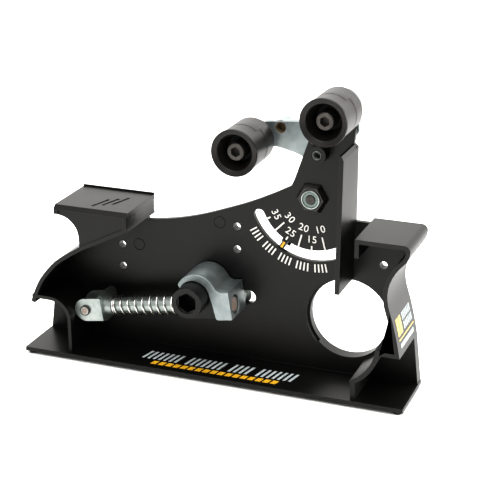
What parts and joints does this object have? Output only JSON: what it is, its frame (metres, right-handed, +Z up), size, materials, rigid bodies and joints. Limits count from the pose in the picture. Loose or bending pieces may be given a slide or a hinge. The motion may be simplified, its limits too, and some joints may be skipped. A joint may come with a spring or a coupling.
{
  "type": "belt grinding attachment for a knife sharpener",
  "caption": "Black moulded bench frame with a tilting arm of belt rollers, an angle scale, a round drive socket and a sprung strut with a hex socket post.",
  "frame": {"origin": "centre of the footprint of the whole object's box, on the surface that it stands on", "axes": "+X to the right along the base, +Y to the rear, away from the open front, +Z up"},
  "size_m": [0.286, 0.069, 0.214],
  "materials": {
    "body_plastic": "satin moulded",
    "roller_plastic": "glossy turned",
    "foot_rubber": "matte",
    "black_steel": "black oxide",
    "zinc_casting": "tumbled zinc",
    "zinc_plate": "zinc plated",
    "spring_steel": "bright drawn",
    "bearing_seal": "matte seal"
  },
  "bodies": {
    "frame": {"main_body": "body_plastic", "foot_1": "foot_rubber", "foot_2": "foot_rubber", "foot_3": "foot_rubber", "foot_4": "foot_rubber", "threaded_insert": "zinc_plate", "pivot_bolt": "zinc_plate", "lock_nut": "black_steel", "lock_ring": "zinc_plate", "arm_washer_front": "zinc_plate", "strut_bracket": "zinc_plate", "anchor_pin": "zinc_plate", "anchor_sleeve": "zinc_plate", "anchor_clip": "spring_steel", "strut_rod": "zinc_plate", "strut_spring": "spring_steel"},
    "arm": {"roller_arm": "zinc_casting", "pointer": "body_plastic", "pointer_screw": "zinc_plate", "arm_washer_rear": "zinc_plate", "left_axle_screw": "black_steel", "left_axle_washer": "zinc_plate", "left_bearing_spacer": "zinc_plate", "upper_axle_screw": "black_steel", "upper_axle_washer": "zinc_plate", "upper_bearing_spacer": "zinc_plate"},
    "left_drum": {"left_roller": "roller_plastic", "left_bearing_front": "bearing_seal", "left_bearing_rear": "bearing_seal"},
    "upper_drum": {"upper_roller": "roller_plastic", "upper_bearing_front": "bearing_seal", "upper_bearing_rear": "bearing_seal"},
    "knob": {"lock_knob": "body_plastic"},
    "carriage": {"socket_post": "body_plastic", "post_saddle": "zinc_casting", "guide_pin": "zinc_plate", "guide_washer": "zinc_plate", "guide_screw": "black_steel"}
  },
  "joints": [
    {"name": "arm_tilt", "type": "hinge", "parent": "frame", "child": "arm", "pos_m": [0.0636, 0.015, 0.1323], "axis": [0, -1, 0], "range_deg": [-30, 45]},
    {"name": "left_roller_spin", "type": "hinge", "parent": "arm", "child": "left_drum", "pos_m": [0.02185, -0.011, 0.17096], "axis": [0, 1, 0], "continuous": true},
    {"name": "upper_roller_spin", "type": "hinge", "parent": "arm", "child": "upper_drum", "pos_m": [0.08325, -0.011, 0.19782], "axis": [0, 1, 0], "continuous": true},
    {"name": "knob_turn", "type": "hinge", "parent": "frame", "child": "knob", "pos_m": [0.0636, 0.027, 0.1323], "axis": [0, 1, 0], "range_deg": [0, 180]},
    {"name": "carriage_slide", "type": "slide", "parent": "frame", "child": "carriage", "axis": [-0.9877, 0, -0.1564], "range_m": [0, 0.014], "stiffness_N_per_m": 1300, "springref_m": -0.002, "deforming": ["strut_spring"]}
  ]
}
